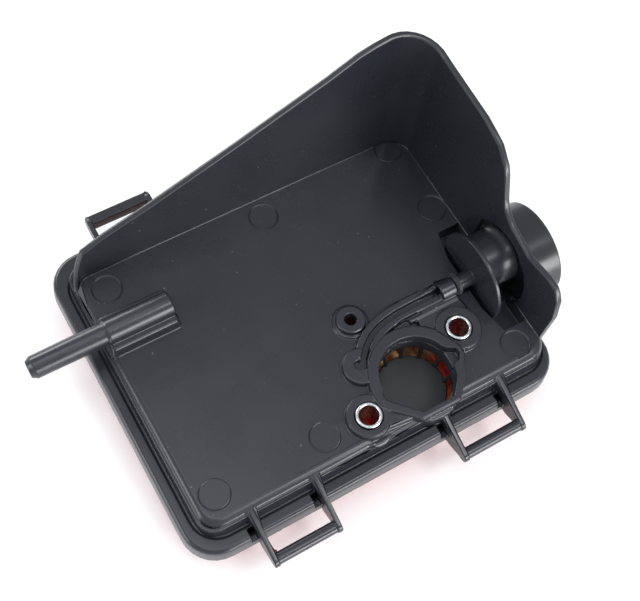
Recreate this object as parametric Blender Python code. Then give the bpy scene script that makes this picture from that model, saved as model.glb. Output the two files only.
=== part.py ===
"""Air filter housing of a small engine: a tray with a tall side shield, its cover, filter and primer.

The model rests on the outer face of its cover, with the carburettor side up. Plan sizes are in
millimetres, measured from the near left corner of the raised plate; heights are from the plate's top.
"""
import math

import bmesh
import bpy
from mathutils import Matrix, Vector

MM = 0.001
CENTRE_X = 62.75
CENTRE_Y = 47.75
TABLE_Z = -28.0

# Tray: a flat rim round a raised plate.
RIM_X = (-7.5, 133.0)
RIM_Y = (-10.9, 107.0)
RIM_RADIUS = 12.0
RIM_TOP = -6.0
SKIRT_BOTTOM = -13.0
PLATE_X = (0.2, 129.6)
PLATE_Y = (-2.2, 97.0)
PLATE_RADIUS = 6.0
PLATE_EDGE = ((1.0, -5.6), (0.95, -4.2), (0.84, -2.9), (0.66, -1.8), (0.42, -0.95), (0.12, -0.4),
              (-0.2, -0.1), (-0.5, 0.0))
WALL = 2.2

# Shield: the tall wall along the far and right sides.
SHIELD_FOOT_X = 129.0
SHIELD_FOOT_Y = 93.6
SHIELD_WALL = 2.4
SHIELD_LEAN = math.radians(4.0)
SHIELD_CORNER = 8.0
CREST_TOP = 56.6
CREST_DROP = 3.8
FAR_CREST = ((3.5, 13.2), (13.0, 17.7), (32.0, 23.9), (66.0, 36.6), (96.0, 48.5), (110.0, 55.0),
             (120.0, CREST_TOP))
RIGHT_CREST = ((84.0, 52.6), (60.0, 51.2), (51.0, 48.8), (44.5, 43.5), (38.5, 30.0), (33.0, 26.6),
               (21.0, 24.0), (11.0, 26.2), (6.5, 25.8), (3.4, 21.8), (1.6, 14.0))

# Intake flange for the carburettor, with two stud sleeves.
FLANGE_TOP = 2.6
INTAKE = (84.5, 9.8)
INTAKE_RADIUS = 13.0
DUCT_BOTTOM = -6.4
STUD_RIGHT = (105.5, 17.1)
STUD_LEFT = (62.4, 4.7)
SLEEVE_OUTER = 4.7
SLEEVE_INNER = 3.35
SLEEVE_TOP = 3.1
SLEEVE_BOTTOM = -9.6
VENT = (74.6, 37.0)

# Primer, on an axis along X.
PRIMER_Y = 31.3
PRIMER_Z = 2.5
PRIMER_AXIS = (PRIMER_Y, PRIMER_Z)
DISC_RADIUS = 16.2
COLLAR_RADIUS = 17.0
ARCH_RADIUS = 15.6
ARCH_CENTRE = (PRIMER_Y + 0.1, PRIMER_Z + 2.7)
ARCH_FAR_SIDE = 13.0
NECK_RADIUS = 10.0
NECK_CENTRE = (PRIMER_Y + 2.4, PRIMER_Z + 2.6)
COLLAR_END = 145.8
POCKET_X = (117.8, 129.0)
POCKET_Y = (9.4, 52.2)

# Breather spigot on the left, along X.
SPIGOT_Y = 69.3
SPIGOT_Z = 5.5
SPIGOT_END = -26.9

# Hinge loops on the near side and latch loops on the far side.
LOOP_PAIRS = ((14.5, 37.5), (86.0, 109.0))
NEAR_BAR = (-19.6, -8.0)
FAR_BAR = (116.4, -7.6)
BAR_RADIUS = 2.05
HINGE_POINT = (CENTRE_X, NEAR_BAR[0], NEAR_BAR[1])
EAR_HALF = 0.85
EAR_END = 2.4
EAR_SLOT = 2.4
EAR_ROOT = ((-1.4, 2.0, -4.5, -0.5), (-4.5, 1.8, -7.0, -1.2), (-8.0, 1.3, -8.0, -2.3),
            (-12.0, 0.7, -9.0, -3.6))

# Cover, below the tray, with two cradles that hold the near bars.
COVER_TOP = -13.4
CRADLE = (2.4, 3.4)

CIRCLE = 40


def clear_scene():
    for item in list(bpy.data.objects):
        bpy.data.objects.remove(item, do_unlink=True)


def material(name, colour, roughness, metallic=0.0, transmission=0.0):
    made = bpy.data.materials.new(name)
    made.use_nodes = True
    shader = made.node_tree.nodes["Principled BSDF"]
    shader.inputs["Base Color"].default_value = (*colour, 1.0)
    shader.inputs["Roughness"].default_value = roughness
    shader.inputs["Metallic"].default_value = metallic
    shader.inputs["Transmission Weight"].default_value = transmission
    return made


def place(point):
    x, y, z = point
    return ((x - CENTRE_X) * MM, (y - CENTRE_Y) * MM, (z - TABLE_Z) * MM)


def new_object(name, mesh, smooth=False):
    tidy = bmesh.new()
    tidy.from_mesh(mesh)
    bmesh.ops.remove_doubles(tidy, verts=tidy.verts, dist=1e-7)
    bmesh.ops.recalc_face_normals(tidy, faces=tidy.faces)
    for face in tidy.faces:
        face.smooth = smooth
    tidy.to_mesh(mesh)
    tidy.free()
    made = bpy.data.objects.new(name, mesh)
    bpy.context.scene.collection.objects.link(made)
    return made


def loft(name, rings, closed=False, smooth=False):
    """A body through rings of points, capped at both ends, or joined end to start when closed."""
    mesh = bpy.data.meshes.new(name)
    build = bmesh.new()
    rows = []
    for ring in rings:
        rows.append([build.verts.new(place(point)) for point in ring])
    pairs = list(zip(rows, rows[1:]))
    if closed:
        pairs.append((rows[-1], rows[0]))
    for low, high in pairs:
        for i in range(len(low)):
            j = (i + 1) % len(low)
            build.faces.new((low[i], low[j], high[j], high[i]))
    if not closed:
        build.faces.new(list(reversed(rows[0])))
        build.faces.new(rows[-1])
    build.to_mesh(mesh)
    build.free()
    return new_object(name, mesh, smooth)


def rounded_rect(x_range, y_range, radius, inset=0.0, steps=7):
    """Points anticlockwise round a rectangle with round corners."""
    x0, x1 = x_range[0] + inset, x_range[1] - inset
    y0, y1 = y_range[0] + inset, y_range[1] - inset
    r = max(radius - inset, 0.6)
    centres = ((x1 - r, y1 - r, 0), (x0 + r, y1 - r, 90), (x0 + r, y0 + r, 180), (x1 - r, y0 + r, 270))
    points = []
    for cx, cy, start in centres:
        for i in range(steps + 1):
            a = math.radians(start + 90 * i / steps)
            points.append((cx + r * math.cos(a), cy + r * math.sin(a)))
    return points


def at(outline, z):
    return [(x, y, z) for x, y in outline]


def shrink(outline, distance):
    """The outline moved inwards by a distance, each corner along its bisector."""
    count = len(outline)
    moved = []
    for i in range(count):
        ax, ay = outline[i - 1]
        bx, by = outline[i]
        cx, cy = outline[(i + 1) % count]
        first = math.hypot(bx - ax, by - ay)
        second = math.hypot(cx - bx, cy - by)
        n1 = (-(by - ay) / first, (bx - ax) / first)
        n2 = (-(cy - by) / second, (cx - bx) / second)
        scale = distance / max(1 + n1[0] * n2[0] + n1[1] * n2[1], 0.3)
        moved.append((bx + (n1[0] + n2[0]) * scale, by + (n1[1] + n2[1]) * scale))
    return moved


def prism(name, outline, low, high, edge=0.0, draft=0.0):
    """A straight body over an outline, with a small chamfer round its top."""
    rings = [at(shrink(outline, -draft), low)]
    if edge:
        rings.append(at(outline, high - edge))
        rings.append(at(shrink(outline, edge), high))
    else:
        rings.append(at(outline, high))
    return loft(name, rings)


def circle(centre, radius, steps=CIRCLE):
    points = []
    for i in range(steps):
        a = 2 * math.pi * i / steps
        points.append((centre[0] + radius * math.cos(a), centre[1] + radius * math.sin(a)))
    return points


def post(name, centre, radius, low, high, edge=0.0, steps=CIRCLE):
    return prism(name, circle(centre, radius, steps), low, high, edge)


def turned(name, profile, centre, steps=CIRCLE, closed=True):
    """A body of revolution about an axis along X: profile points are (x, radius)."""
    rings = [[(x, y, z) for y, z in circle(centre, r, steps)] for x, r in profile]
    return loft(name, rings, closed=closed, smooth=True)


def standing(name, profile, centre, steps=CIRCLE):
    """A hollow body of revolution about a vertical axis: profile points are (radius, z)."""
    rings = [at(circle(centre, r, steps), z) for r, z in profile]
    return loft(name, rings, closed=True, smooth=True)


def plate_yz(name, outline, x_low, x_high):
    return loft(name, [[(x_low, y, z) for y, z in outline], [(x_high, y, z) for y, z in outline]])


def box(name, x_range, y_range, z_range):
    x0, x1 = x_range
    y0, y1 = y_range
    corners = ((x0, y0), (x1, y0), (x1, y1), (x0, y1))
    return loft(name, [at(corners, z_range[0]), at(corners, z_range[1])])


def set_origin(item, point):
    """Moves the object's origin to a point, with its surface left where it is."""
    origin = Vector(place(point))
    item.data.transform(Matrix.Translation(-origin))
    item.location = origin
    return item


def combine(target, others, operation):
    """Joins or cuts the other bodies, one after another, and removes them."""
    for other in others:
        step = target.modifiers.new("step", "BOOLEAN")
        step.operation = operation
        step.solver = "EXACT"
        step.object = other
        graph = bpy.context.evaluated_depsgraph_get()
        result = bpy.data.meshes.new_from_object(target.evaluated_get(graph))
        target.modifiers.clear()
        old = target.data
        target.data = result
        bpy.data.meshes.remove(old)
        bpy.data.objects.remove(other, do_unlink=True)
    return target


def finish(item, surface, smooth_angle=None):
    item.data.materials.clear()
    item.data.materials.append(surface)
    if smooth_angle is not None:
        item.data.shade_smooth()
        item.data.set_sharp_from_angle(angle=math.radians(smooth_angle))
    return item


def crest_height(table, at_position):
    """The shield's height between its named points, eased so that the crest has no kinks."""
    points = sorted(table)
    if at_position <= points[0][0]:
        return points[0][1]
    for (p0, h0), (p1, h1) in zip(points, points[1:]):
        if at_position <= p1:
            part = (at_position - p0) / (p1 - p0)
            return h0 + (h1 - h0) * part
    return points[-1][1]


def shield_path():
    """Foot points, outward directions and heights along the shield, from the far left to the near right."""
    stations = []
    near_left = 5.0
    for i in range(7):
        a = math.radians(180 - 90 * i / 6)
        cx, cy = -0.4 + near_left, SHIELD_FOOT_Y - near_left
        x, y = cx + near_left * math.cos(a), cy + near_left * math.sin(a)
        stations.append((x, y, math.cos(a), math.sin(a), -1.6 + 15.4 * (i / 6) ** 1.5))
    x = 7.4
    while x < SHIELD_FOOT_X - SHIELD_CORNER:
        stations.append((x, SHIELD_FOOT_Y, 0.0, 1.0, crest_height(FAR_CREST, x)))
        x += 5.6
    for i in range(9):
        a = math.radians(90 - 90 * i / 8)
        cx, cy = SHIELD_FOOT_X - SHIELD_CORNER, SHIELD_FOOT_Y - SHIELD_CORNER
        height = CREST_TOP - CREST_DROP * (i / 8) ** 1.4
        nx, ny = math.cos(a), math.sin(a)
        stations.append((cx + SHIELD_CORNER * nx, cy + SHIELD_CORNER * ny, nx, ny, height))
    y = 81.0
    while y > 1.5:
        stations.append((SHIELD_FOOT_X, y, 1.0, 0.0, crest_height(RIGHT_CREST, y)))
        y -= 1.9 if y < 56 else 5.0
    return stations


def shield():
    rings = []
    lean = math.tan(SHIELD_LEAN)
    for count, (x, y, nx, ny, height) in enumerate(shield_path()):
        low = -4.0
        wall = SHIELD_WALL * min(0.55 + 0.08 * count, 1.0)
        section = ((lean * low, low), (lean * height, height - 0.5), (lean * height + 0.5, height),
                   (lean * height + wall - 0.6, height), (lean * height + wall, height - 0.6),
                   (lean * low + wall + 0.1, low))
        rings.append([(x + nx * out, y + ny * out, z) for out, z in section])
    return loft("shield", rings)


def intake_outline():
    """The D-shaped mouth: a round arc, a flat near side with sloping corners, and a lobe on the right."""
    points = [(79.0, -2.8), (91.0, -2.8), (95.6, 2.6), (96.7, 6.4)]
    points += [(99.6, 7.4), (101.0, 9.4), (100.8, 11.2), (98.4, 12.4)]
    for i in range(15):
        a = math.radians(18 + 160 * i / 14)
        points.append((INTAKE[0] + INTAKE_RADIUS * math.cos(a), INTAKE[1] + INTAKE_RADIUS * math.sin(a)))
    points += [(69.9, 8.6), (70.3, 6.6), (72.6, 4.0)]
    return points


def flange_outline():
    points = [(77.4, -5.0), (92.2, -5.0), (98.4, 1.6), (100.2, 5.0)]
    points += [(102.4, 8.0), (102.8, 11.4), (101.0, 15.0)]
    for i in range(13):
        a = math.radians(24 + 148 * i / 12)
        points.append((INTAKE[0] + 17.2 * math.cos(a), INTAKE[1] + 17.2 * math.sin(a)))
    points += [(66.8, 9.0), (67.2, 5.4), (69.6, 2.4)]
    return points


def channel_line():
    """The middle of the primer channel, from its straight end to its round end by the intake."""
    points = [(107.2, 31.9), (96.0, 31.9), (89.5, 31.7)]
    for angle in (80, 68, 56, 44, 32, 20):
        a = math.radians(90 + (90 - angle) * 0.92)
        points.append((88.5 + 21.0 * math.cos(a), 10.8 + 20.6 * math.sin(a)))
    return points


def ribbon(line, half_width):
    """An outline that follows a line at a distance on both sides."""
    left = []
    right = []
    for i, (x, y) in enumerate(line):
        ax, ay = line[max(i - 1, 0)]
        bx, by = line[min(i + 1, len(line) - 1)]
        length = math.hypot(bx - ax, by - ay)
        nx, ny = -(by - ay) / length, (bx - ax) / length
        left.append((x + nx * half_width, y + ny * half_width))
        right.append((x - nx * half_width, y - ny * half_width))
    return list(reversed(left)) + right if half_width > 0 else left


def pocket_outline():
    """A rectangle whose two corners away from the shield are sliced off."""
    x0, x1 = POCKET_X
    y0, y1 = POCKET_Y
    return [(x0, y0 + 10.6), (x0 + 2.4, y0), (x1, y0), (x1, y1), (x0 + 2.4, y1), (x0, y1 - 10.6)]


def arch_outline():
    """The opening in the shield for the primer: round, with a straight far side."""
    half = math.degrees(math.acos(ARCH_FAR_SIDE / ARCH_RADIUS))
    y, z = ARCH_CENTRE
    points = []
    for i in range(33):
        a = math.radians(half + (360 - 2 * half) * i / 32)
        points.append((y + ARCH_RADIUS * math.cos(a), z + ARCH_RADIUS * math.sin(a)))
    return points


def plate_side(part):
    """An outline round the plate's sloping side: part 0 at the plate's own edge, part 1 at the foot."""
    x_range = (PLATE_X[0] - 2.3 * part, PLATE_X[1] + 1.3 * part)
    y_range = (PLATE_Y[0] - 2.8 * part, PLATE_Y[1] + 3.0 * part)
    return rounded_rect(x_range, y_range, PLATE_RADIUS + 2.4 * part)


def tray_shell():
    rim = (RIM_X, RIM_Y, RIM_RADIUS)
    plate = (PLATE_X, PLATE_Y, PLATE_RADIUS)
    outer = loft("base_housing", [
        at(rounded_rect(*rim, inset=-0.4), SKIRT_BOTTOM),
        at(rounded_rect(*rim), RIM_TOP - 1.6),
        at(rounded_rect(*rim, inset=0.35), RIM_TOP - 0.6),
        at(rounded_rect(*rim, inset=1.3), RIM_TOP),
        at(rounded_rect((-3.6, 131.3), (-6.5, 100.9), 9.5), RIM_TOP),
        at(rounded_rect((-3.4, 131.2), (-6.2, 100.8), 9.3), RIM_TOP - 0.7),
        at(plate_side(1.12), RIM_TOP - 0.7),
    ] + [at(plate_side(part), z) for part, z in PLATE_EDGE])
    bulges = [
        prism("bulge", circle((STUD_LEFT[0], STUD_LEFT[1] - 1.4), 8.6), RIM_TOP - 1.0, -0.8, 0.8),
        prism("bulge", circle((84.9, 6.6), 13.2), RIM_TOP - 1.0, -0.5, 0.6),
    ]
    combine(outer, bulges, "UNION")
    inside = loft("inside", [
        at(rounded_rect(*rim, inset=1.8), SKIRT_BOTTOM - 2.0),
        at(rounded_rect(*rim, inset=2.2), RIM_TOP - WALL - 0.2),
        at(rounded_rect((-0.2, 128.8), (-2.9, 98.0), 6.4), RIM_TOP - WALL - 0.2),
        at(rounded_rect(*plate, inset=1.4), -2.8),
        at(rounded_rect(*plate, inset=2.4), -WALL),
    ])
    return combine(outer, [inside], "DIFFERENCE")


def hook_loops(left, right):
    """A near loop with a round bar for a hinge, and a far loop with a square bar for the latch."""
    near = [(-1.2, -0.25), (-1.2, -4.0), (-9.9, -8.0), (-10.6, -12.6), (-13.2, -12.6), (-15.6, -11.6)]
    for i in range(9):
        a = math.radians(-75 - 178 * i / 8)
        near.append((NEAR_BAR[0] + EAR_END * math.cos(a), NEAR_BAR[1] + EAR_END * math.sin(a)))
    far = [(105.6, -6.6), (116.0, -5.4), (118.0, -6.4), (118.3, -9.0), (116.4, -11.2), (105.6, -12.6)]
    pieces = []
    for x in (left, right):
        for outline in (near, far):
            pieces.append(plate_yz("ear", outline, x - EAR_HALF, x + EAR_HALF))
        pieces.append(loft("root", [
            [(x - half, y, low), (x + half, y, low), (x + half, y, high), (x - half, y, high)]
            for y, half, low, high in EAR_ROOT
        ]))
    round_bar = [(left, BAR_RADIUS), (right, BAR_RADIUS)]
    pieces.append(turned("bar", round_bar, NEAR_BAR, closed=False, steps=24))
    y, z = FAR_BAR
    pieces.append(box("bar", (left, right), (y - 2.0, y + 1.6), (z - 2.6, z + 1.7)))
    return pieces


def base_housing():
    base = tray_shell()
    duct = post("duct", INTAKE, INTAKE_RADIUS + 2.0, DUCT_BOTTOM, -1.0)
    posts = [post("post", centre, 5.7, SLEEVE_BOTTOM + 0.2, -1.0) for centre in (STUD_RIGHT, STUD_LEFT)]
    pocket_sides = (POCKET_Y[0] - 2.0, POCKET_Y[1] + 2.0)
    pocket_body = box("pocket_body", (POCKET_X[0] - 2.0, 130.6), pocket_sides, (-8.7, -1.0))
    spigot_axis = (SPIGOT_Y, SPIGOT_Z)
    tube = [(SPIGOT_END, 2.9), (SPIGOT_END + 1.6, 3.8), (SPIGOT_END + 1.7, 3.95), (2.0, 4.1)]
    spigot_body = turned("spigot", tube, spigot_axis, closed=False, steps=28)
    rounded = [(-0.2, 4.05), (0.6, 4.45), (23.2, 4.45), (23.8, 4.0)]
    barrel = turned("barrel", rounded, spigot_axis, closed=False, steps=28)
    block = loft("block", [
        at(rounded_rect((-2.0, 24.6), (SPIGOT_Y - 7.8, SPIGOT_Y + 7.8), 1.4, steps=3), -4.0),
        at(rounded_rect((-0.6, 24.2), (SPIGOT_Y - 7.2, SPIGOT_Y + 7.2), 1.2, steps=3), 0.4),
        at(rounded_rect((-0.2, 23.6), (SPIGOT_Y - 6.6, SPIGOT_Y + 6.6), 1.0, steps=3), 3.9),
        at(rounded_rect((0.2, 23.2), (SPIGOT_Y - 6.1, SPIGOT_Y + 6.1), 0.8, steps=3), 4.3),
    ])
    flange = prism("flange", flange_outline(), -1.0, FLANGE_TOP, 0.4)
    pads = [
        post("pad", STUD_RIGHT, 8.2, -1.0, FLANGE_TOP - 0.05, 0.4),
        post("pad", STUD_LEFT, 7.6, -1.0, FLANGE_TOP - 0.1, 0.4),
        post("pad", (69.4, 20.8), 6.6, -1.0, FLANGE_TOP - 0.15, 0.4),
        post("pad", VENT, 5.1, -1.0, FLANGE_TOP, 0.3),
        post("pad", VENT, 6.3, -1.0, 0.5, 0.3),
    ]
    channel_body = prism("channel_body", ribbon(channel_line(), 3.5), -1.0, FLANGE_TOP - 0.2, 0.4)
    bridge_sides = [(92.0, 26.2), (112.0, 26.2), (112.0, 35.4), (92.0, 35.4)]
    bridge = prism("bridge", bridge_sides, -1.0, FLANGE_TOP - 0.25, 0.4)
    web_sides = [(96.0, 12.0), (106.0, 9.2), (113.6, 16.0), (112.0, 27.5), (94.0, 27.5)]
    web = prism("web", web_sides, -1.0, 2.0, 0.3)
    left_web = prism("left_web", [(60.5, -1.2), (77.0, -3.0), (73.0, 11.0), (64.0, 12.0)], -1.0, 2.1, 0.3)
    socket_axis = (PRIMER_Y, PRIMER_Z - 0.2)
    socket_body = turned("socket_body", [(106.4, 3.5), (112.0, 3.5)], socket_axis, closed=False, steps=24)
    loops = [loop for pair in LOOP_PAIRS for loop in hook_loops(*pair)]
    rib = ((-2.0, 127.4), (-4.7, 99.5), 6.0)
    seal_rib = loft("seal_rib", [
        at(rounded_rect(*rib), -14.7),
        at(rounded_rect(*rib), -1.4),
        at(rounded_rect(*rib, inset=1.3), -1.4),
        at(rounded_rect(*rib, inset=1.3), -14.7),
    ], closed=True)
    combine(base, [seal_rib], "UNION")
    combine(base, [duct] + posts + [pocket_body, shield(), block, barrel, spigot_body], "UNION")
    combine(base, [flange] + pads + [channel_body, bridge, web, left_web, socket_body] + loops, "UNION")

    intake_cut = prism("intake_cut", intake_outline(), -1.2, FLANGE_TOP + 2.0)
    bore = post("bore", INTAKE, INTAKE_RADIUS - 0.02, DUCT_BOTTOM - 2.0, -1.1)
    cutters = [intake_cut, bore]
    for centre in (STUD_RIGHT, STUD_LEFT):
        cutters.append(post("stud_cut", centre, SLEEVE_OUTER + 0.1, -14.0, FLANGE_TOP + 2.0))
    cutters.append(post("vent_cut", VENT, 2.15, -6.0, FLANGE_TOP + 2.0, steps=24))
    cutters.append(prism("groove", ribbon(channel_line(), 1.05), 0.3, FLANGE_TOP + 2.0))
    cutters.append(post("groove_end", (68.8, 21.4), 1.7, 0.3, FLANGE_TOP + 2.0, steps=20))
    cutters.append(post("groove_end", (107.4, 31.9), 1.3, 0.2, FLANGE_TOP + 2.0, steps=20))
    slot = [(90.0, 27.6), (97.5, 27.7), (97.5, 28.7), (90.0, 28.8), (87.6, 28.2)]
    cutters.append(prism("slot", slot, 0.9, FLANGE_TOP + 2.0))
    cutters.append(prism("pocket", pocket_outline(), RIM_TOP - 0.4, 8.0))
    cutters.append(plate_yz("arch", arch_outline(), 126.0, 139.0))
    breather = [(SPIGOT_END - 3.0, 2.0), (20.0, 2.0)]
    cutters.append(turned("breather_bore", breather, spigot_axis, closed=False, steps=20))
    cutters.append(post("breather_drop", (18.0, SPIGOT_Y), 2.0, -6.0, SPIGOT_Z, steps=20))
    cutters.append(turned("socket", [(108.0, 1.75), (115.0, 1.75)], socket_axis, closed=False, steps=20))
    cutters.append(turned("trough", [(112.1, 4.2), (118.6, 4.2)], PRIMER_AXIS, closed=False, steps=24))
    for x in [side for pair in LOOP_PAIRS for side in pair]:
        slot_x = (x - EAR_HALF - EAR_SLOT, x - EAR_HALF - 0.01)
        cutters.append(box("ear_slot", slot_x, (-13.0, -6.9), (-9.6, -3.6)))
    combine(base, cutters, "DIFFERENCE")
    return base


def filter_frame():
    outer = ((-1.8, 127.2), (-4.6, 99.8), 6.0)
    inner = ((8.0, 117.0), (5.8, 90.0), 0.7)
    return loft("filter_frame", [
        at(rounded_rect(*outer, inset=0.6), -24.6),
        at(rounded_rect(*outer), -24.0),
        at(rounded_rect(*outer), -15.6),
        at(rounded_rect(*outer, inset=0.6), -15.0),
        at(rounded_rect(*outer, inset=3.4), -15.0),
        at(rounded_rect(*inner, inset=-1.4), -16.4),
        at(rounded_rect(*inner), -17.0),
        at(rounded_rect(*inner), -24.6),
    ], closed=True)


def filter_media():
    """One sheet folded into pleats across the frame."""
    x_low, x_high = 8.3, 116.7
    folds = 30
    top, bottom, thick = -17.2, -24.2, 0.7
    pitch = (x_high - x_low) / folds
    upper = []
    lower = []
    for i in range(folds + 1):
        x = x_low + i * pitch
        high = i % 2 == 0
        z = top if high else bottom + thick * 1.6
        upper.append((x, z))
        lower.append((x, z - thick * 1.6))
    outline = upper + list(reversed(lower))
    low = [(x, 6.2, z) for x, z in outline]
    high = [(x, 89.7, z) for x, z in outline]
    return loft("filter_media", [low, high])


def intake_cage():
    """An open ring round the duct, its legs and the round plate that turns the air sideways."""
    profile = [(15.3, -2.8), (16.2, -2.8), (16.2, -7.6), (13.3, -7.6), (13.3, -6.7), (15.3, -6.7)]
    ring = standing("intake_cage", profile, INTAKE, steps=48)
    plate = post("plate", INTAKE, 12.6, -14.2, -12.9, 0.3, steps=48)
    legs = []
    for i in range(12):
        a = math.radians(15 + 30 * i)
        if math.sin(a) < -0.6:
            continue
        x, y = INTAKE[0] + 14.2 * math.cos(a), INTAKE[1] + 14.2 * math.sin(a)
        foot_x, foot_y = INTAKE[0] + 12.2 * math.cos(a), INTAKE[1] + 12.2 * math.sin(a)
        legs.append(loft("leg", [
            at(circle((foot_x, foot_y), 0.8, 8), -13.9),
            at(circle((foot_x, foot_y), 0.8, 8), -12.4),
            at(circle((x, y), 0.7, 8), -7.2),
            at(circle((x, y), 0.7, 8), -7.0),
        ]))
    clearance = box("clearance", (60.0, 110.0), (-12.0, -0.2), (-9.0, 0.0))
    combine(ring, [clearance], "DIFFERENCE")
    return combine(ring, [plate] + legs, "UNION")


def cover():
    top = ((-6.4, 131.9), (-9.7, 105.8), 11.0)
    foot = ((-4.6, 130.1), (-7.7, 103.9), 10.0)
    shell = loft("cover", [
        at(rounded_rect(*foot, inset=2.2), TABLE_Z),
        at(rounded_rect(*foot, inset=0.9), TABLE_Z + 0.6),
        at(rounded_rect(*foot), TABLE_Z + 2.0),
        at(rounded_rect(*top), COVER_TOP),
    ])
    seat = loft("seat", [
        at(rounded_rect(*top, inset=0.9), COVER_TOP - 1.2),
        at(rounded_rect(*top, inset=0.9), COVER_TOP + 1.0),
    ])
    combine(shell, [seat], "DIFFERENCE")
    arms = []
    bar_y, bar_z = NEAR_BAR
    for left, _ in LOOP_PAIRS:
        x0, x1 = left + EAR_HALF + 0.3, left + EAR_HALF + 1.5
        cradle = []
        for i in range(11):
            a = math.radians(-115 + 95 * i / 10)
            cradle.append((bar_y + CRADLE[1] * math.cos(a), bar_z + CRADLE[1] * math.sin(a)))
        for i in range(11):
            a = math.radians(-20 - 95 * i / 10)
            cradle.append((bar_y + CRADLE[0] * math.cos(a), bar_z + CRADLE[0] * math.sin(a)))
        arms.append(plate_yz("cradle", cradle, x0, x1))
        arm = [(bar_y - 0.6, bar_z - 2.9), (bar_y + 0.8, bar_z - 4.6), (-8.0, -21.0), (-7.6, -15.0)]
        arm += [(-10.4, -14.2), (-14.6, -13.6), (bar_y + 2.2, bar_z - 2.2)]
        arms.append(plate_yz("arm", arm, x0, x1))
    tab = box("tab", (92.0, 103.0), (111.5, 113.9), (-20.0, -4.2))
    tab_foot = box("tab_foot", (92.2, 102.8), (101.0, 113.7), (-20.4, -17.4))
    combine(shell, arms + [tab_foot, tab], "UNION")
    hollow = loft("hollow", [
        at(rounded_rect(*foot, inset=2.6), TABLE_Z + 2.2),
        at(rounded_rect(*foot, inset=2.1), TABLE_Z + 3.0),
        at(rounded_rect(*top, inset=3.2), COVER_TOP - 1.6),
        at(rounded_rect(*top, inset=3.2), COVER_TOP + 1.0),
    ])
    combine(shell, [hollow], "DIFFERENCE")
    return set_origin(shell, HINGE_POINT)


def cover_seal():
    seat = ((-6.4, 131.9), (-9.7, 105.8), 11.0)
    seal = loft("cover_seal", [
        at(rounded_rect(*seat, inset=1.2), COVER_TOP - 0.9),
        at(rounded_rect(*seat, inset=1.2), COVER_TOP - 0.1),
        at(rounded_rect(*seat, inset=1.6), COVER_TOP + 0.1),
        at(rounded_rect(*seat, inset=2.4), COVER_TOP + 0.1),
        at(rounded_rect(*seat, inset=2.8), COVER_TOP - 0.1),
        at(rounded_rect(*seat, inset=2.8), COVER_TOP - 0.9),
    ], closed=True)
    return set_origin(seal, HINGE_POINT)


def primer_backplate():
    """The thin disc inside the shield, with its nipple and the neck that passes through the wall."""
    nipple = [(112.4, 1.1), (112.4, 2.5), (112.8, 2.9), (119.6, 2.9)]
    rim = DISC_RADIUS - 0.3
    disc = [(119.6, rim), (119.9, DISC_RADIUS), (120.9, DISC_RADIUS), (121.2, rim)]
    stem = [(121.2, 5.0), (133.4, 5.0), (133.4, 1.1)]
    body = turned("primer_backplate", nipple + disc + stem, PRIMER_AXIS, steps=48)
    neck = turned("neck", [(120.6, 3.6), (120.6, NECK_RADIUS), (133.4, NECK_RADIUS), (133.4, 3.6)],
                  NECK_CENTRE, steps=48)
    bore = turned("bore", [(120.0, 1.1), (134.0, 1.1)], PRIMER_AXIS, closed=False, steps=24)
    combine(body, [neck], "UNION")
    combine(body, [bore], "DIFFERENCE")
    flat = box("flat", (118.0, 124.0), (PRIMER_Y - 20, PRIMER_Y + 20), (-20.0, -5.9))
    return combine(body, [flat], "DIFFERENCE")


def primer_cup():
    return turned("primer_cup", [
        (133.7, 1.4), (133.7, COLLAR_RADIUS - 0.3), (134.0, COLLAR_RADIUS),
        (COLLAR_END - 0.5, COLLAR_RADIUS), (COLLAR_END, COLLAR_RADIUS - 0.5), (COLLAR_END, 15.3),
        (COLLAR_END - 0.4, 14.9), (137.6, 14.9), (137.6, 1.4),
    ], PRIMER_AXIS, steps=48)


def primer_ring():
    profile = [(143.0, 11.4), (143.0, 14.6), (145.5, 14.6), (146.0, 14.1), (146.0, 12.0), (145.6, 11.4)]
    return turned("primer_ring", profile, PRIMER_AXIS)


def primer_bulb():
    """A hollow rubber dome, open at the back, that slides in when pressed."""
    outer = [(143.2, 10.9), (145.2, 10.9)]
    inner = [(143.2, 9.5), (145.0, 9.5)]
    for angle in (20, 40, 58, 74):
        a = math.radians(angle)
        outer.append((145.2 + 5.4 * math.sin(a), 10.9 * math.cos(a)))
        inner.append((145.0 + 4.2 * math.sin(a), 9.5 * math.cos(a)))
    outer.append((150.6, 1.4))
    inner.append((149.2, 1.0))
    outer.append((150.65, 0.5))
    inner.insert(0, (142.0, 9.5))
    dome = turned("primer_bulb", outer, PRIMER_AXIS, closed=False, steps=32)
    hollow = turned("bulb_hollow", inner, PRIMER_AXIS, closed=False, steps=32)
    combine(dome, [hollow], "DIFFERENCE")
    return set_origin(dome, (143.2, PRIMER_Y, PRIMER_Z))


def primer_seal():
    """A soft washer with a tapered edge on the nipple."""
    profile = [(112.35, 3.15), (112.35, 3.2), (113.0, 3.9), (113.9, 3.9), (114.3, 3.15)]
    return turned("primer_seal", profile, PRIMER_AXIS, steps=24)


def stud_sleeve(name, centre):
    """A plain steel tube with small chamfers at both ends."""
    outer = SLEEVE_OUTER - 0.2
    bevel = 0.3
    return standing(name, [
        (SLEEVE_INNER + bevel, SLEEVE_BOTTOM), (outer - bevel, SLEEVE_BOTTOM), (outer, SLEEVE_BOTTOM + bevel),
        (outer, SLEEVE_TOP - bevel), (outer - bevel, SLEEVE_TOP), (SLEEVE_INNER + bevel, SLEEVE_TOP),
        (SLEEVE_INNER, SLEEVE_TOP - bevel), (SLEEVE_INNER, SLEEVE_BOTTOM + bevel),
    ], centre)


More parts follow.
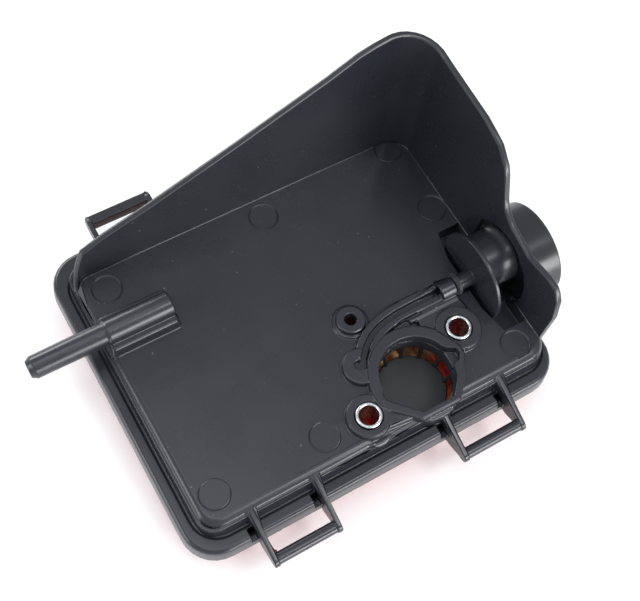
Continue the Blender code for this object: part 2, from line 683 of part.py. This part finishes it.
def build():
    clear_scene()
    black = material("black_plastic", (0.018, 0.019, 0.022), 0.38)
    cage_black = material("cage_plastic", (0.03, 0.03, 0.033), 0.5)
    primer_black = material("primer_plastic", (0.014, 0.015, 0.018), 0.32)
    cup_black = material("cup_plastic", (0.016, 0.017, 0.02), 0.3)
    red = material("red_plastic", (0.62, 0.02, 0.01), 0.22, transmission=0.35)
    steel = material("zinc_steel", (0.78, 0.79, 0.8), 0.24, metallic=1.0)
    steel_left = material("zinc_steel_left", (0.78, 0.79, 0.8), 0.26, metallic=1.0)
    orange = material("orange_frame", (0.75, 0.14, 0.03), 0.45)
    paper = material("filter_paper", (0.8, 0.3, 0.1), 0.8)
    seal = material("seal_rubber", (0.03, 0.03, 0.03), 0.7)
    bulb = material("bulb_rubber", (0.02, 0.02, 0.022), 0.55)
    ring = material("ring_plastic", (0.05, 0.05, 0.055), 0.4)
    washer = material("washer_rubber", (0.035, 0.035, 0.035), 0.65)

    finish(base_housing(), black, 32)
    finish(stud_sleeve("stud_sleeve_right", STUD_RIGHT), steel, 40)
    finish(stud_sleeve("stud_sleeve_left", STUD_LEFT), steel_left, 40)
    finish(intake_cage(), cage_black, 40)
    finish(filter_frame(), orange, 32)
    finish(filter_media(), paper)
    finish(cover(), red, 32)
    finish(cover_seal(), seal, 32)
    finish(primer_backplate(), primer_black, 40)
    finish(primer_cup(), cup_black, 40)
    finish(primer_ring(), ring, 40)
    finish(primer_bulb(), bulb, 50)
    finish(primer_seal(), washer, 40)


build()
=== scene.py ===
"""The air filter housing's finished look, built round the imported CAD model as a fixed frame.

Every piece starts from its CAD solid, gets rounded edges and fine detail as geometry, and a procedural
material. The frame's coordinates are in metres, and so are the places and sizes of the lights and the
camera's place. The plate's coordinates and the details' widths and depths are passed on in millimetres.
"""

import math

import bmesh
import bpy
from mathutils import Matrix, Vector


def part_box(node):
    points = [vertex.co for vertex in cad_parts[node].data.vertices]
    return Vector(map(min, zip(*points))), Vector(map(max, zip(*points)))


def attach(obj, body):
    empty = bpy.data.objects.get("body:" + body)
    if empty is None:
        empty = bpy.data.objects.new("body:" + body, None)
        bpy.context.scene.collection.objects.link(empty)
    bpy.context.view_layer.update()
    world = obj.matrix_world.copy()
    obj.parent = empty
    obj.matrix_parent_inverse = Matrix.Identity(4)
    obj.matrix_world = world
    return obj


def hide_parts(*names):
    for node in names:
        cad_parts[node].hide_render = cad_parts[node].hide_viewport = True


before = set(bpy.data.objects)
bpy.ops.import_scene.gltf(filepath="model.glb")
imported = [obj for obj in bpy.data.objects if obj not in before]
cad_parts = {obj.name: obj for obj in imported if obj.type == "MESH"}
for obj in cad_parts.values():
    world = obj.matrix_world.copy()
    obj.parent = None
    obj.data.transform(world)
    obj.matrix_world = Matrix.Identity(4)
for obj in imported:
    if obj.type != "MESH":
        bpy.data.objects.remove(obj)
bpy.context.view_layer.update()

MM = 0.001
MERGE_DISTANCE = 0.004 * MM
FLAT_ANGLE = math.radians(0.8)
SHARP_ANGLE = math.radians(40)
ROUNDED_ANGLE = math.radians(26.0)
NORMAL_WEIGHT = 80
HOUSING, COVER, BULB = "housing", "cover", "bulb"

# The plate's own coordinates: millimetres from the raised plate's near left corner, heights from its top.
PLATE_CORNER = Vector((-62.75, -47.75, 28.0)) * MM


def on_plate(x, y, z=0.0):
    """A point given in the plate's millimetres, in the frame's metres."""
    return PLATE_CORNER + Vector((x, y, z)) * MM


# ---------------------------------------------------------------- shapes

def apply_modifiers(item):
    """Gives the object the mesh that its modifiers make, and removes them."""
    graph = bpy.context.evaluated_depsgraph_get()
    mesh = bpy.data.meshes.new_from_object(item.evaluated_get(graph))
    item.modifiers.clear()
    old = item.data
    item.data = mesh
    bpy.data.meshes.remove(old)


def piece(name, mesh):
    """A new object of that mesh, in the scene."""
    made = bpy.data.objects.new(name, mesh)
    bpy.context.scene.collection.objects.link(made)
    return made


def copy_of(node, name):
    """A copy of a CAD node's surface, with its doubled points merged and its flat faces whole."""
    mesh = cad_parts[node].data.copy()
    mesh.name = name
    mesh.materials.clear()
    tidy = bmesh.new()
    tidy.from_mesh(mesh)
    bmesh.ops.remove_doubles(tidy, verts=tidy.verts, dist=MERGE_DISTANCE)
    bmesh.ops.dissolve_limit(tidy, angle_limit=FLAT_ANGLE, verts=tidy.verts, edges=tidy.edges)
    many_sided = [face for face in tidy.faces if len(face.verts) > 4]
    bmesh.ops.connect_verts_concave(tidy, faces=many_sided)
    bmesh.ops.recalc_face_normals(tidy, faces=tidy.faces)
    tidy.to_mesh(mesh)
    tidy.free()
    return piece(name, mesh)


def round_edges(item, width, segments=2):
    """Rounds every edge sharper than ROUNDED_ANGLE, and shades the rest smooth."""
    bevel = item.modifiers.new("round", "BEVEL")
    bevel.width = width * MM
    bevel.segments = segments
    bevel.limit_method = "ANGLE"
    bevel.angle_limit = ROUNDED_ANGLE
    bevel.use_clamp_overlap = False
    bevel.harden_normals = False
    bevel.miter_outer = "MITER_ARC"
    bevel.loop_slide = False
    apply_modifiers(item)
    item.data.shade_smooth()
    item.data.set_sharp_from_angle(angle=SHARP_ANGLE)
    weighted = item.modifiers.new("normals", "WEIGHTED_NORMAL")
    weighted.keep_sharp = True
    weighted.weight = NORMAL_WEIGHT


def cut(item, cutters):
    """Takes each cutter's shape out of the object, and removes the cutter."""
    for cutter in cutters:
        step = item.modifiers.new("cut", "BOOLEAN")
        step.operation = "DIFFERENCE"
        step.solver = "EXACT"
        step.object = cutter
        apply_modifiers(item)
        bpy.data.objects.remove(cutter, do_unlink=True)


def disc_cutter(x, y, radius, depth, steps=56):
    """A flat round cutter that stands above the plate and reaches a depth below its top."""
    above = 0.12
    build = bmesh.new()
    bmesh.ops.create_cone(build, cap_ends=True, segments=steps, radius1=radius * MM,
                          radius2=radius * MM, depth=(depth + above) * MM)
    mesh = bpy.data.meshes.new("disc_cutter")
    build.to_mesh(mesh)
    build.free()
    made = piece("disc_cutter", mesh)
    made.location = on_plate(x, y, (above - depth) / 2)
    return made


def finish_piece(item, node, body, surface):
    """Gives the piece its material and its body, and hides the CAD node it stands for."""
    item.data.materials.clear()
    item.data.materials.append(surface)
    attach(item, body)
    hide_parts(node)


# ---------------------------------------------------------------- materials

def new_material(name, colour, roughness):
    """A material with a plain colour and roughness, where its nodes don't give others."""
    made = bpy.data.materials.new(name)
    made.use_nodes = True
    shader = made.node_tree.nodes["Principled BSDF"]
    shader.inputs["Base Color"].default_value = (*colour, 1.0)
    shader.inputs["Roughness"].default_value = roughness
    return made, made.node_tree, shader


def noise(tree, scale, detail=3.0, rough=0.55, stretch=(1.0, 1.0, 1.0)):
    """A noise pattern in the object's own metres, optionally stretched."""
    coordinates = tree.nodes.new("ShaderNodeTexCoord")
    mapping = tree.nodes.new("ShaderNodeMapping")
    mapping.inputs["Scale"].default_value = stretch
    texture = tree.nodes.new("ShaderNodeTexNoise")
    texture.inputs["Scale"].default_value = scale
    texture.inputs["Detail"].default_value = detail
    texture.inputs["Roughness"].default_value = rough
    tree.links.new(coordinates.outputs["Object"], mapping.inputs["Vector"])
    tree.links.new(mapping.outputs["Vector"], texture.inputs["Vector"])
    return texture.outputs["Fac"]


def spread(tree, value, low, high, start=0.3, end=0.7):
    """The value, stretched so that start to end becomes low to high, and clamped there."""
    node = tree.nodes.new("ShaderNodeMapRange")
    node.inputs["From Min"].default_value = start
    node.inputs["From Max"].default_value = end
    node.inputs["To Min"].default_value = low
    node.inputs["To Max"].default_value = high
    tree.links.new(value, node.inputs["Value"])
    return node.outputs["Result"]


# The colour sockets of a Mix node, whose names it shares with its number and vector sockets.
MIX_FACTOR, MIX_FIRST, MIX_SECOND, MIX_RESULT = 0, 6, 7, 2


def blend_colours(tree, value, first, second):
    """A mix of two colours, each given as red, green and blue or as another node's output."""
    node = tree.nodes.new("ShaderNodeMix")
    node.data_type = "RGBA"
    tree.links.new(value, node.inputs[MIX_FACTOR])
    for index, colour in ((MIX_FIRST, first), (MIX_SECOND, second)):
        if isinstance(colour, tuple):
            node.inputs[index].default_value = (*colour, 1.0)
        else:
            tree.links.new(colour, node.inputs[index])
    return node.outputs[MIX_RESULT]


def bump(tree, shader, height, strength, distance):
    """Lets the height roughen the surface's look, over a distance in millimetres."""
    node = tree.nodes.new("ShaderNodeBump")
    node.inputs["Strength"].default_value = strength
    node.inputs["Distance"].default_value = distance * MM
    tree.links.new(height, node.inputs["Height"])
    tree.links.new(node.outputs["Normal"], shader.inputs["Normal"])


DUST = (0.30, 0.30, 0.31)


def moulded_plastic(name, dark, light, smooth, rough):
    """Moulded plastic: faint flow mottling, patchy gloss, a fine grain and a few pale specks of dust."""
    made, tree, shader = new_material(name, dark, smooth)
    mottle = noise(tree, scale=28.0)
    tone = blend_colours(tree, spread(tree, mottle, 0.0, 1.0), dark, light)
    specks = spread(tree, noise(tree, scale=650.0, detail=2.0), 0.0, 0.55, start=0.745, end=0.79)
    tree.links.new(blend_colours(tree, specks, tone, DUST), shader.inputs["Base Color"])
    patches = noise(tree, scale=60.0, detail=4.0, rough=0.6)
    tree.links.new(spread(tree, patches, smooth, rough), shader.inputs["Roughness"])
    bump(tree, shader, noise(tree, scale=2600.0, detail=2.0), strength=0.08, distance=0.05)
    return made


def zinc_steel(name):
    """Turned and zinc plated steel, with fine rings round its axis and small dull patches."""
    made, tree, shader = new_material(name, (0.6, 0.61, 0.62), 0.36)
    shader.inputs["Metallic"].default_value = 1.0
    patches = noise(tree, scale=700.0)
    tone = blend_colours(tree, spread(tree, patches, 0.0, 1.0), (0.54, 0.56, 0.58), (0.66, 0.68, 0.69))
    tree.links.new(tone, shader.inputs["Base Color"])
    tree.links.new(spread(tree, patches, 0.20, 0.30), shader.inputs["Roughness"])
    rings = noise(tree, scale=500.0, rough=0.5, stretch=(1.0, 1.0, 9.0))
    bump(tree, shader, rings, strength=0.05, distance=0.02)
    return made


def red_cover_plastic():
    """Deep red plastic with a clear gloss over it."""
    made, tree, shader = new_material("red_cover", (0.22, 0.012, 0.010), 0.2)
    shader.inputs["Coat Weight"].default_value = 0.4
    shader.inputs["Coat Roughness"].default_value = 0.08
    cloud = noise(tree, scale=60.0, detail=4.0)
    tone = blend_colours(tree, spread(tree, cloud, 0.0, 1.0), (0.19, 0.009, 0.008), (0.26, 0.014, 0.011))
    tree.links.new(tone, shader.inputs["Base Color"])
    gloss = spread(tree, noise(tree, scale=160.0, detail=4.0), 0.16, 0.3)
    tree.links.new(gloss, shader.inputs["Roughness"])
    bump(tree, shader, noise(tree, scale=1800.0), strength=0.05, distance=0.05)
    return made


def soft_rubber(name, dark, light, rough=0.6):
    """Rubber or soft foam: cloudy, dull, with a faint sheen and a coarse grain."""
    made, tree, shader = new_material(name, dark, rough)
    cloud = spread(tree, noise(tree, scale=180.0, detail=4.0), 0.0, 1.0)
    tree.links.new(blend_colours(tree, cloud, dark, light), shader.inputs["Base Color"])
    gloss = spread(tree, noise(tree, scale=260.0), rough - 0.1, rough + 0.12)
    tree.links.new(gloss, shader.inputs["Roughness"])
    shader.inputs["Sheen Weight"].default_value = 0.12
    bump(tree, shader, noise(tree, scale=1500.0), strength=0.15, distance=0.08)
    return made


# Where the painted red light on the paper ends, in the plate's millimetres, and how far it takes to fade; the
# red stands for light thrown from the red cover.
PAINTED_RED_GLOW_EDGE = 17.0
PAINTED_RED_GLOW_FADE = 3.0


def filter_paper():
    """Fibrous orange paper, painted pale for the light inside, with painted red light from the cover on its
    near side.
    """
    made, tree, shader = new_material("filter_paper", (0.84, 0.36, 0.12), 0.85)
    fibres = noise(tree, scale=900.0, detail=5.0, rough=0.7, stretch=(1.0, 0.25, 1.0))
    streaks = spread(tree, fibres, 0.0, 1.0)
    # The paper's tones are painted pale to stand in for light reaching into the housing.
    plain_paper = blend_colours(tree, streaks, (0.93, 0.40, 0.14), (0.98, 0.70, 0.42))
    # Painted red light from the red cover, on the paper's near side.
    painted_red_glow = blend_colours(tree, streaks, (0.96, 0.07, 0.05), (0.98, 0.16, 0.12))
    place = tree.nodes.new("ShaderNodeSeparateXYZ")
    tree.links.new(tree.nodes.new("ShaderNodeTexCoord").outputs["Object"], place.inputs["Vector"])
    edge = on_plate(0.0, PAINTED_RED_GLOW_EDGE).y
    beyond = spread(tree, place.outputs["Y"], 0.0, 1.0, edge, edge + PAINTED_RED_GLOW_FADE * MM)
    tree.links.new(blend_colours(tree, beyond, painted_red_glow, plain_paper), shader.inputs["Base Color"])
    tree.links.new(spread(tree, fibres, 0.75, 0.95), shader.inputs["Roughness"])
    bump(tree, shader, fibres, strength=0.35, distance=0.1)
    return made


# ---------------------------------------------------------------- pieces

# The marks of the mould's pins, in the plate's millimetres.
PIN_MARKS = ((8.1, 86.2), (68.3, 86.4), (122.2, 89.9), (123.6, 61.7), (6.9, 6.2), (46.8, 5.9), (120.4, 3.4))
PIN_MARK_RADIUS = 5.05
PIN_MARK_DEPTH = 0.08
HOUSING_ROUND = 0.34


def housing_moulding(surface):
    """The base moulding, with shallow round pin marks in its plate."""
    made = copy_of("base_housing", "housing_moulding")
    cut(made, [disc_cutter(x, y, PIN_MARK_RADIUS, PIN_MARK_DEPTH) for x, y in PIN_MARKS])
    round_edges(made, HOUSING_ROUND)
    finish_piece(made, "base_housing", HOUSING, surface)


def rounded_copy(node, name, body, surface, width, segments=2):
    """A piece that is its CAD node with rounded edges."""
    made = copy_of(node, name)
    round_edges(made, width, segments)
    finish_piece(made, node, body, surface)


# Each panel of the folded paper runs from its top to its bottom; a low power makes the folds squarer.
PAPER_PANELS = 38
PANEL_STEPS = 10
PAPER_ROWS = 24
PAPER_THICKNESS = 0.45 * MM
PAPER_GAP = 0.3 * MM
PAPER_RIPPLE = 0.12 * MM
ROW_TURN = 9.0
STEP_TURN = 0.7
FOLD_POWER = 0.55


def pleated_paper(surface):
    """A finely folded, slightly rippled sheet that fills the filter frame's opening."""
    low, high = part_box("filter_media")
    top, bottom = high.z - PAPER_GAP, low.z + PAPER_GAP
    middle, reach = (top + bottom) / 2, (top - bottom) / 2
    steps = PAPER_PANELS * PANEL_STEPS
    line = []
    for i in range(steps + 1):
        x = low.x + (high.x - low.x) * i / steps
        wave = math.cos(math.pi * PAPER_PANELS * i / steps)
        fold = math.copysign(abs(wave) ** FOLD_POWER, wave)
        line.append(Vector((x, 0.0, middle + (reach - PAPER_THICKNESS) * fold)))
    build = bmesh.new()
    rows = []
    for j in range(PAPER_ROWS + 1):
        y = low.y + (high.y - low.y) * j / PAPER_ROWS
        ripple = PAPER_RIPPLE * math.sin(ROW_TURN * j)
        rows.append([build.verts.new((p.x + ripple * math.sin(STEP_TURN * i), y, p.z))
                     for i, p in enumerate(line)])
    for row, after in zip(rows, rows[1:]):
        for i in range(steps):
            build.faces.new((row[i], row[i + 1], after[i + 1], after[i]))
    mesh = bpy.data.meshes.new("pleated_paper")
    build.to_mesh(mesh)
    build.free()
    made = piece("pleated_paper", mesh)
    solid = made.modifiers.new("sheet", "SOLIDIFY")
    solid.thickness = PAPER_THICKNESS
    solid.offset = 0.0
    apply_modifiers(made)
    made.data.shade_smooth()
    finish_piece(made, "filter_media", HOUSING, surface)


def build_pieces():
    """All thirteen pieces, with their materials."""
    black = moulded_plastic("housing_plastic", (0.0150, 0.0160, 0.0215), (0.0205, 0.0215, 0.0275),
                            smooth=0.24, rough=0.33)
    cage_black = moulded_plastic("cage_moulding", (0.020, 0.020, 0.023), (0.030, 0.030, 0.034),
                                 smooth=0.36, rough=0.5)
    primer_black = moulded_plastic("primer_moulding", (0.0190, 0.0200, 0.0250), (0.0250, 0.0260, 0.0320),
                                   smooth=0.22, rough=0.30)
    cup_black = moulded_plastic("cup_moulding", (0.0140, 0.0150, 0.0190), (0.0190, 0.0200, 0.0245),
                                smooth=0.22, rough=0.3)
    ring_grey = moulded_plastic("ring_moulding", (0.03, 0.03, 0.034), (0.045, 0.045, 0.05),
                                smooth=0.3, rough=0.45)
    housing_moulding(black)
    rounded_copy("stud_sleeve_right", "sleeve_right", HOUSING,
                 zinc_steel("zinc_right"), width=0.12)
    rounded_copy("stud_sleeve_left", "sleeve_left", HOUSING,
                 zinc_steel("zinc_left"), width=0.12)
    rounded_copy("intake_cage", "baffle_cage", HOUSING, cage_black, width=0.15)
    rounded_copy("primer_backplate", "primer_disc", HOUSING, primer_black,
                 width=0.22, segments=3)
    rounded_copy("primer_cup", "primer_outer_cup", HOUSING, cup_black,
                 width=0.22, segments=3)
    rounded_copy("primer_ring", "bulb_retainer", HOUSING, ring_grey, width=0.15)
    rounded_copy("primer_seal", "nipple_washer", HOUSING,
                 soft_rubber("washer", (0.009, 0.009, 0.011), (0.015, 0.015, 0.018)), width=0.08)
    rounded_copy("primer_bulb", "press_bulb", BULB,
                 soft_rubber("bulb_rubber", (0.012, 0.012, 0.014), (0.022, 0.022, 0.024), rough=0.45),
                 width=0.2)
    rounded_copy("filter_frame", "filter_edge", HOUSING,
                 soft_rubber("orange_edge", (0.74, 0.085, 0.03), (0.80, 0.12, 0.04), rough=0.5),
                 width=0.4)
    pleated_paper(filter_paper())
    rounded_copy("cover", "hinged_cover", COVER, red_cover_plastic(), width=0.3)
    rounded_copy("cover_seal", "cover_gasket", COVER,
                 soft_rubber("gasket", (0.018, 0.018, 0.018), (0.03, 0.03, 0.03)), width=0.12)


# ---------------------------------------------------------------- floor, lights and camera

# The camera, as fitted to the part's straight edges and round openings.
CAMERA_AT = Vector((-0.096693, -0.126433, 0.370668))
CAMERA_RIGHT = Vector((0.86380616, -0.49806947, 0.07593232))
CAMERA_UP = Vector((0.42365695, 0.79963067, 0.42556502))
LENS = 62.66

FLOOR_HALF_SIDE = 3.0
FLOOR_DROP = 0.05 * MM

# What the lights face: the part, or the table behind it.
AIM = (0.0, 0.0, 0.02)
BEHIND = (0.0, 0.35, 0.0)
SKY_COLOUR = (0.93, 0.965, 1.0, 1.0)
SKY_STRENGTH = 0.70


def floor():
    """A pale table top under the object."""
    build = bmesh.new()
    bmesh.ops.create_grid(build, x_segments=2, y_segments=2, size=FLOOR_HALF_SIDE)
    mesh = bpy.data.meshes.new("table_top")
    build.to_mesh(mesh)
    build.free()
    made = piece("table_top", mesh)
    made.location.z = -FLOOR_DROP
    surface, tree, shader = new_material("table", (0.93, 0.93, 0.93), 0.5)
    cloud = spread(tree, noise(tree, scale=6.0), 0.0, 1.0)
    tone = blend_colours(tree, cloud, (0.95, 0.95, 0.955), (0.98, 0.98, 0.98))
    tree.links.new(tone, shader.inputs["Base Color"])
    mesh.materials.append(surface)


def softbox(name, at, target, width, height, power, colour=(1.0, 1.0, 1.0)):
    """A rectangular light that faces its target, with its power in watts."""
    light = bpy.data.lights.new(name, "AREA")
    light.shape = "RECTANGLE"
    light.size = width
    light.size_y = height
    light.energy = power
    light.color = colour
    made = bpy.data.objects.new(name, light)
    bpy.context.scene.collection.objects.link(made)
    made.location = at
    made.rotation_euler = (Vector(target) - Vector(at)).to_track_quat("-Z", "Y").to_euler()


def studio():
    """A pale, slightly blue sky with five softboxes."""
    world = bpy.data.worlds.new("studio")
    bpy.context.scene.world = world
    world.use_nodes = True
    sky = world.node_tree.nodes["Background"]
    sky.inputs["Color"].default_value = SKY_COLOUR
    sky.inputs["Strength"].default_value = SKY_STRENGTH
    softbox("overhead", (-0.14, 0.04, 1.2), AIM, width=0.55, height=0.45, power=1.9, colour=(0.90, 0.95, 1.0))
    softbox("left", (-1.3, 0.2, 0.6), AIM, width=0.6, height=0.6, power=6.0)
    softbox("near", (0.40, -1.3, 0.30), AIM, width=1.0, height=0.55, power=18.0)
    softbox("far", (-0.3, 1.5, 0.7), BEHIND, width=1.0, height=0.5, power=16.0)
    softbox("edges", (0.34, -0.46, 1.15), AIM, width=0.4, height=0.3, power=4.0)


def camera():
    """Looks down at the object from its near left, turned a little about its own axis."""
    back = CAMERA_RIGHT.cross(CAMERA_UP)
    lens = bpy.data.cameras.new("camera")
    lens.lens = LENS
    lens.sensor_fit = "HORIZONTAL"
    lens.clip_start = 0.01
    made = bpy.data.objects.new("camera", lens)
    bpy.context.scene.collection.objects.link(made)
    turn = Matrix((CAMERA_RIGHT, CAMERA_UP, back)).transposed()
    made.matrix_world = Matrix.Translation(CAMERA_AT) @ turn.to_4x4()
    bpy.context.scene.camera = made


build_pieces()
floor()
studio()
camera()
bpy.context.scene.view_settings.view_transform = "Standard"
